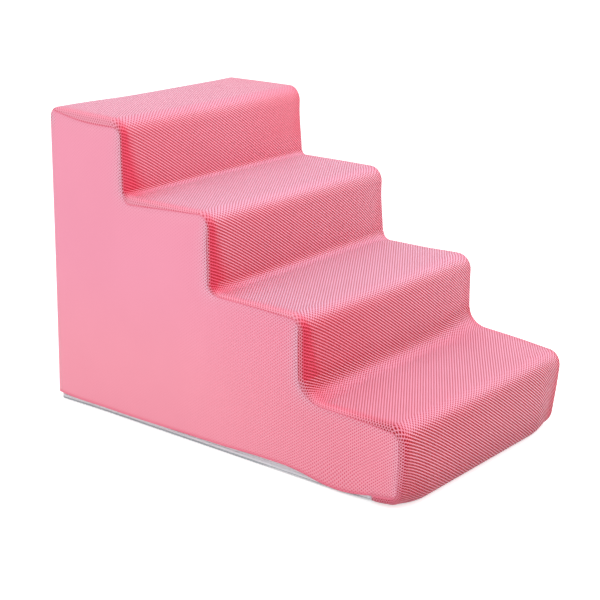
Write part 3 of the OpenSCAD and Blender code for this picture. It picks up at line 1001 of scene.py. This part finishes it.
# The holes' tones are painted shade
PANEL_HOLE_SHADES = ((0.94, 0.33, 0.46), (0.95, 0.33, 0.43))
STRETCHED_HOLE_SHADE = (0.84, 0.12, 0.20)
# By the seams, pale ridges are a painted highlight and the open holes painted shade
OPEN_RIDGE_HIGHLIGHT = (1.0, 0.62, 0.76)
OPEN_HOLE_SHADE = (0.5, 0.03, 0.08)
# Red at the seams: painted shade
SEAM_SHADE = (0.84, 0.14, 0.25)
# Deeper pink at the hem: painted shade in its fold
HEM_FOLD_SHADE = (0.86, 0.15, 0.24)
PANEL_DEPTH = 0.8 * MM


class Value:
    """What a shader's node gives. Sums and products with it make the nodes for them."""

    def __init__(self, shader, socket):
        self.shader, self.socket = shader, socket

    def __add__(self, other):
        return self.shader.calc("ADD", self, other)

    def __sub__(self, other):
        return self.shader.calc("SUBTRACT", self, other)

    def __mul__(self, other):
        return self.shader.calc("MULTIPLY", self, other)

    __radd__, __rmul__ = __add__, __mul__


class Nodes:
    """The nodes of a world or material, and the calls that any of them needs."""

    def __init__(self, owner, surface):
        owner.use_nodes = True
        self.tree = owner.node_tree
        self.surface = self.tree.nodes[surface]

    def feed(self, socket, value):
        if isinstance(value, Value):
            self.tree.links.new(value.socket, socket)
        else:
            socket.default_value = (*value, 1) if socket.type == "RGBA" else value

    def set(self, name, value):
        self.feed(self.surface.inputs[name], value)

    def node(self, kind, fed=None, output=0, **values):
        """One result of a new node. fed holds what goes into it, by the input's number or name."""
        made = self.tree.nodes.new("ShaderNode" + kind)
        for key, value in values.items():
            setattr(made, key, value)
        for key, value in (fed or {}).items():
            self.feed(made.inputs[key], value)
        return Value(self, made.outputs[output])

    def calc(self, operation, *terms):
        return self.node("Math", dict(enumerate(terms)), operation=operation)

    def seen(self):
        """1 where the camera, or glossy metal, looks at this surface, for a plain white there."""
        rays = [self.node("LightPath", output=f"Is {ray} Ray") for ray in ("Camera", "Glossy")]
        either = self.calc("MAXIMUM", *rays)
        return self.calc("MAXIMUM", either, self.node("LightPath", output="Is Transmission Ray"))


class Shader(Nodes):
    """A material with one Principled shader and short calls for its nodes."""

    def __init__(self, name, colour, **sockets):
        self.material = bpy.data.materials.new(name)
        self.material.diffuse_color = (*colour, 1)
        super().__init__(self.material, "Principled BSDF")
        self.set("Base Color", colour)
        for socket, value in sockets.items():
            self.set(socket.replace("_", " "), value)

    def between(self, value, low, high, start=0.0, end=1.0):
        terms = dict(enumerate((value, low, high, start, end)))
        return self.node("MapRange", terms, interpolation_type="SMOOTHSTEP")

    def mix(self, share, first, second):
        return self.node("Mix", {0: share, 6: first, 7: second}, 2, data_type="RGBA")

    def place(self):
        return self.node("TexCoord", output="Object")

    def noise(self, scale, detail=2.0):
        return self.node("TexNoise", {"Vector": self.place(), "Scale": scale, "Detail": detail}, "Fac")

    def parts(self, vector):
        split = self.node("SeparateXYZ", {0: vector}).socket.node
        return [Value(self, part) for part in split.outputs]

    def layer(self, name):
        """The two values that a mesh keeps in this layer."""
        return self.parts(self.node("UVMap", uv_map=name))[:2]

    def waves(self, value, length):
        return self.calc("SINE", value * (2 * math.pi / length))

    def bump(self, height, distance, strength):
        self.set("Normal", self.node("Bump", {"Height": height, "Distance": distance, "Strength": strength}))

    def facing(self, slope_x, slope_y):
        """The surface's direction on the flat cloth, from how steeply it rises each way."""
        joined = self.node("CombineXYZ", {0: slope_x, 1: slope_y, 2: 1.0})
        unit = self.node("VectorMath", {0: joined}, operation="NORMALIZE")
        half = (0.5, 0.5, 0.5)
        packed = self.node("VectorMath", {0: unit, 1: half, 2: half}, operation="MULTIPLY_ADD")
        return self.node("NormalMap", {"Color": packed}, uv_map=UV_NAME)


def hole_lattice(s, depth, lean):
    """Holes in diagonal rows, this deep. lean is from 0, both diagonals alike, to 1 or -1, where only
    one of them has ridges. Returns the lattice's height, 2 and a little more in each hole's middle and
    about -2 between holes, and the way its surface faces on the flat cloth."""
    across, along = s.layer(UV_NAME)
    per_across, per_along = 2 * math.pi / HOLE_ACROSS, 2 * math.pi / HOLE_ALONG
    wave_x, wave_y = across * per_across, along * per_along
    sin_x, cos_x = s.calc("SINE", wave_x), s.calc("COSINE", wave_x)
    sin_y, cos_y = s.calc("SINE", wave_y), s.calc("COSINE", wave_y)
    double_x = wave_x * 2.0
    rows = cos_x * cos_y - lean * (sin_x * sin_y)
    height = rows * 2.0 + s.calc("COSINE", double_x) * HOLE_ROUND
    sin_cos, cos_sin = sin_x * cos_y, cos_x * sin_y
    by_x = s.calc("SINE", double_x) * HOLE_ROUND + (lean * cos_sin + sin_cos)
    by_y = lean * sin_cos + cos_sin
    per_unit = depth * -0.5
    return height, s.facing(by_x * per_across * per_unit, by_y * per_along * per_unit)


def mesh_shader(name, colour):
    sheen = dict(Sheen_Weight=0.35, Sheen_Roughness=0.3, Sheen_Tint=(0.95, 0.93, 1.0))
    return Shader(name, colour, Roughness=0.65, Specular_IOR_Level=0.25, **sheen)


def worn_in(s, share, ridge):
    """Darkens the ridges in soft patches, at most by this share."""
    return s.mix(s.between(s.noise(9.0, 3.0), 0.35, 0.65, 0.0, share), ridge, WORN)


def strip_ridges(s, across, y, z, nz, at_rim):
    """The tone of the strip's ridges: paler on treads with painted sheen, paler to the right with painted
    light, darker at the foot with painted shade, and pale at the rim with a painted highlight.
    """
    third = TREAD_Z[2]
    # Paler to the right: painted light
    to_right = s.between(across, -FLAT_W / 2, FLAT_W)
    to_right = to_right * s.between(z, third - 10 * MM, third + 10 * MM, 1.0, 0.15)
    # Tread tones: painted sheen
    tread = s.mix(s.between(z, TREAD_Z[0], TREAD_Z[1]), *TREAD_SHEEN_TONES[:2])
    tread = s.mix(s.between(z, third, TREAD_Z[3]), tread, TREAD_SHEEN_TONES[2])
    ridge = s.mix(s.between(nz, 0.3, 1.0), s.mix(to_right, RISER_SHADED_LEFT, RISER_LIT_RIGHT), tread)
    turned = s.between(s.calc("ABSOLUTE", across), FLAT_W, FLAT_W + 3 * MM)
    ridge = worn_in(s, 0.06, s.mix(turned, ridge, TURNED_TONE))
    # Painted shade at the foot
    ridge = s.mix(s.between(z, 45 * MM, 0.0, 0.0, 0.5), ridge, FOOT_SHADE)
    return s.mix(at_rim, ridge, RIM_HIGHLIGHT)


def strip_mesh():
    """The strip's spacer mesh. It is stretched on the risers, so its ridges lean one way and its holes
    open, dark with painted shade. On the treads they lean the other way, closer, and paler with painted
    sheen. At the top step's right end it is calmer, as dark on the whole but with less between ridge and
    hole."""
    s = mesh_shader("step_mesh", (0.9, 0.25, 0.34))
    across = s.layer(UV_NAME)[0]
    red, is_open = s.layer(SHADE_OPEN_NAME)
    _, ny, nz = s.parts(s.node("NewGeometry", output="Normal"))
    _, y, z = s.parts(s.place())
    upright = ny * ny - nz * nz
    calm = s.between(across, 0.15 * FLAT_W, 0.95 * FLAT_W, 0.0, 0.75)
    calm = calm * s.between(z, TREAD_Z[2] + 15 * MM, TREAD_Z[2] + 45 * MM)
    depth = is_open * (calm * (CALM_DEPTH - STRIP_DEPTH) + STRIP_DEPTH)
    height, facing = hole_lattice(s, depth, upright * 0.6)
    at_rim = s.between(s.calc("ABSOLUTE", across), FLAT_W + RIM_START, FLAT_W + RIM_FULL)
    at_rim = at_rim * s.between(upright, 0.0, 0.9)
    at_rim = at_rim * s.between(y, 40 * MM - HALF_D, TREAD_D - HALF_D, 0.35, 1.0)
    opening = s.between(upright * 0.5 + height, -0.35, 0.65)
    opening = calm * (upright * 0.1 + 0.68 - opening) + opening
    opening = opening * (is_open * 0.75 + 0.3)
    ridge = strip_ridges(s, across, y, z, nz, at_rim)
    # The holes' tones are painted shade; at the rim the ridges carry a painted highlight
    cloth = s.mix(opening, ridge, s.mix(at_rim, STRIP_HOLE_SHADE, RIM_HOLE_SHADE))
    # The red layer lays on painted shade and bounce light
    s.set("Base Color", s.mix(red, cloth, s.mix(opening, RED_SHADE_RIDGE, RED_SHADE_HOLE)))
    s.set("Normal", facing)
    return s.material


def panel_mesh(name, stretch_y):
    """The closer mesh of the sides and the back, deeper pink at the hem with painted shade in its fold.
    Its holes open along the seams, and on a side also towards the front, between the two places of
    stretch_y. Open holes are darker with painted shade, their ridges by the seams pale with a painted
    highlight, and the seams are red with painted shade."""
    s = mesh_shader(name, (0.95, 0.35, 0.49))
    across, up = s.layer(UV_NAME)
    red, is_open = s.layer(SHADE_OPEN_NAME)
    stretch = s.between(across, *stretch_y) if stretch_y else 0.25
    stretch = s.calc("MAXIMUM", stretch, is_open)
    height, facing = hole_lattice(s, stretch * PANEL_DEPTH + is_open * PANEL_DEPTH, 0.0)
    low = s.between(up, 0.24, 0.06)
    ridge = s.mix(is_open, worn_in(s, 0.04, s.mix(low, *PANEL_RIDGES)), OPEN_RIDGE_HIGHLIGHT)
    hole = s.mix(is_open, s.mix(stretch, s.mix(low, *PANEL_HOLE_SHADES), STRETCHED_HOLE_SHADE), OPEN_HOLE_SHADE)
    cloth = s.mix(red, s.mix(s.between(height, 0.1, 1.3), ridge, hole), SEAM_SHADE)
    # Painted shade in the hem's fold
    s.set("Base Color", s.mix(s.between(up, HEM_Z + 6 * MM, HEM_Z + 1 * MM, 0.0, 0.6), cloth, HEM_FOLD_SHADE))
    s.set("Normal", facing)
    return s.material


def tape_cloth():
    s = Shader("zip_tape", (0.95, 0.95, 0.98), Roughness=0.7, Sheen_Weight=0.2)
    along, across = s.layer(UV_NAME)
    height = s.waves(along + across, TAPE_WEAVE[0]) * s.waves(across, TAPE_WEAVE[1])
    s.set("Base Color", s.mix(s.between(height, -1, 1), (0.92, 0.91, 0.96), (0.98, 0.98, 1.0)))
    s.bump(height, 0.1 * MM, 0.6)
    return s.material


def nylon():
    s = Shader("zip_nylon", (0.92, 0.93, 0.97), Roughness=0.32, Specular_IOR_Level=0.5)
    s.set("Base Color", s.mix(s.noise(300.0), (0.88, 0.89, 0.95), (0.95, 0.96, 0.99)))
    return s.material


def base_fabric():
    """Grey woven base cloth, whose side edge is painted white in front: painted light that lifts the shade
    under the hem.
    """
    s = Shader("base_cloth", (0.50, 0.54, 0.57), Roughness=0.8)
    across, along = s.layer(UV_NAME)
    height = s.waves(across, BASE_WEAVE) * s.waves(along, BASE_WEAVE)
    cloth = s.mix(s.between(height, -1, 1), (0.44, 0.48, 0.51), (0.56, 0.60, 0.63))
    nz = s.parts(s.node("NewGeometry", output="Normal"))[2]
    # White front edge: painted light
    at_edge = s.between(s.calc("ABSOLUTE", nz), 0.7, 0.3)
    near_front = s.between(s.parts(s.place())[1], -65 * MM, -95 * MM)
    s.set("Base Color", s.mix(at_edge * near_front, cloth, (0.97, 0.98, 1.0)))
    s.bump(height, 0.15 * MM, 0.6)
    return s.material


def grip_rubber():
    s = Shader("grip_dots", (0.16, 0.18, 0.19), Roughness=0.5)
    s.set("Base Color", s.mix(s.noise(120.0), (0.13, 0.15, 0.16), (0.19, 0.21, 0.22)))
    return s.material


def foam():
    s = Shader("foam", (0.86, 0.82, 0.66), Roughness=0.95)
    size = s.node("TexVoronoi", {"Vector": s.place(), "Scale": 700.0}, "Distance", feature="F1")
    # Darker where the bump sinks: painted shade
    s.set("Base Color", s.mix(s.between(size, 0.1, 0.7), (0.9, 0.86, 0.7), (0.74, 0.68, 0.5)))
    s.bump(size * -1.0, 0.5 * MM, 0.7)
    return s.material


def plated_metal():
    s = Shader("zip_metal", (0.46, 0.46, 0.49), Roughness=0.28, Metallic=1.0)
    worn = s.noise(260.0, 4.0)
    s.set("Base Color", s.mix(worn, (0.36, 0.36, 0.40), (0.56, 0.56, 0.60)))
    s.set("Roughness", s.between(worn, 0.3, 0.7, 0.2, 0.4))
    s.bump(worn, 0.02 * MM, 0.3)
    return s.material


# Putting the pieces together


def dress(piece, material, slot, *nodes):
    """Gives a piece its material, and lets it stand for those nodes on the stairs."""
    piece.data.materials.clear()
    piece.data.materials.append(material)
    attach(piece, "stairs")
    if nodes:
        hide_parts(*nodes)


def paint_node(node, material):
    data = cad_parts[node].data
    data.materials.clear()
    data.materials.append(material)
    data.shade_smooth()


def build_cover():
    swell = Swell()
    side_cloth = panel_mesh("side_mesh", (110 * MM, -230 * MM))
    dress(step_strip(swell), strip_mesh(), "step_mesh", "cover_step_strip")
    dress(side_panel("left_side_cloth", -1, swell), side_cloth, "side_mesh", "cover_left_side")
    dress(side_panel("right_side_cloth", 1, swell), side_cloth, "side_mesh", "cover_right_side")
    dress(back_panel(swell), panel_mesh("back_mesh", None), "step_mesh", "cover_back_panel")


def build_inside():
    material = foam()
    for name, node in zip(FOAM_NAMES, FOAM_NODES):
        dress(foam_block(name, node), material, "foam", node)


def build_base():
    tape, teeth = tape_cloth(), nylon()
    dots, low_tape = grip_dots(), lower_tape()
    dress(base_cloth(), base_fabric(), "base_cloth", "cover_base_panel")
    dress(dots, grip_rubber(), "base_cloth")
    dress(low_tape, tape, "zip_tape", "zip_lower_tape")
    dress(upper_tape(), tape, "zip_tape", "zip_upper_tape")
    upper = teeth_row("zip_upper_teeth_coil", ZIP_Z + TOOTH_REACH, ZIP_Z + CHAIN_H, 0)
    lower = teeth_row("zip_lower_teeth_coil", ZIP_Z - CHAIN_H, ZIP_Z - TOOTH_REACH, TOOTH_PITCH / 2)
    dress(upper, teeth, "zip_teeth", "zip_upper_teeth")
    dress(lower, teeth, "zip_teeth", "zip_lower_teeth")
    metal = plated_metal()
    for node in ("zip_slider_body", "zip_pull_tab", "zip_end_stops"):
        paint_node(node, metal)


# Camera, light and floor


def make_world():
    """Soft white light from all round, plain white where it is seen."""
    world = bpy.context.scene.world = bpy.data.worlds.new("studio")
    s = Nodes(world, "Background")
    s.set("Color", (1, 1, 1))
    s.set("Strength", SKY)
    plain = s.node("Background", {"Color": (1, 1, 1)})
    mixed = s.node("MixShader", {0: s.seen(), 1: Value(s, s.surface.outputs[0]), 2: plain})
    s.feed(s.tree.nodes["World Output"].inputs[0], mixed)


def make_floor():
    """A pale floor that keeps the object's shadow, with a little light of its own in view."""
    bpy.ops.mesh.primitive_plane_add(size=FLOOR_SIZE, location=(0, 0, -0.2 * MM))
    floor = bpy.context.object
    floor.name = "floor"
    s = Shader("floor", (0.8, 0.8, 0.8), Roughness=1.0, Specular_IOR_Level=0.0, Emission_Color=(1, 1, 1))
    s.set("Emission Strength", s.seen() * FLOOR_LIFT)
    floor.data.materials.append(s.material)


def add_lamp(name, place, power):
    data = bpy.data.lights.new(name, "AREA")
    data.size = LAMP_SIZE
    data.energy = power
    lamp = add_object(name, data)
    lamp.location = place
    lamp.rotation_euler = (Vector(LAMP_TARGET) - Vector(place)).to_track_quat("-Z", "Y").to_euler()


def make_camera():
    data = bpy.data.cameras.new("camera")
    data.sensor_width = 36
    data.lens = CAMERA_LENS
    data.clip_start, data.clip_end = 0.05, 100
    camera = add_object("camera", data)
    turns = ((-CAMERA_YAW, "Z"), (math.pi / 2 + CAMERA_PITCH, "X"), (CAMERA_ROLL, "Z"))
    camera.matrix_world = Matrix.Translation(CAMERA_PLACE)
    for angle, axis in turns:
        camera.matrix_world @= Matrix.Rotation(angle, 4, axis)
    bpy.context.scene.camera = camera


def make_studio():
    bpy.context.scene.view_settings.view_transform = "Standard"
    make_world()
    make_floor()
    for lamp in LAMPS:
        add_lamp(*lamp)


make_camera()
make_studio()
build_cover()
build_inside()
build_base()
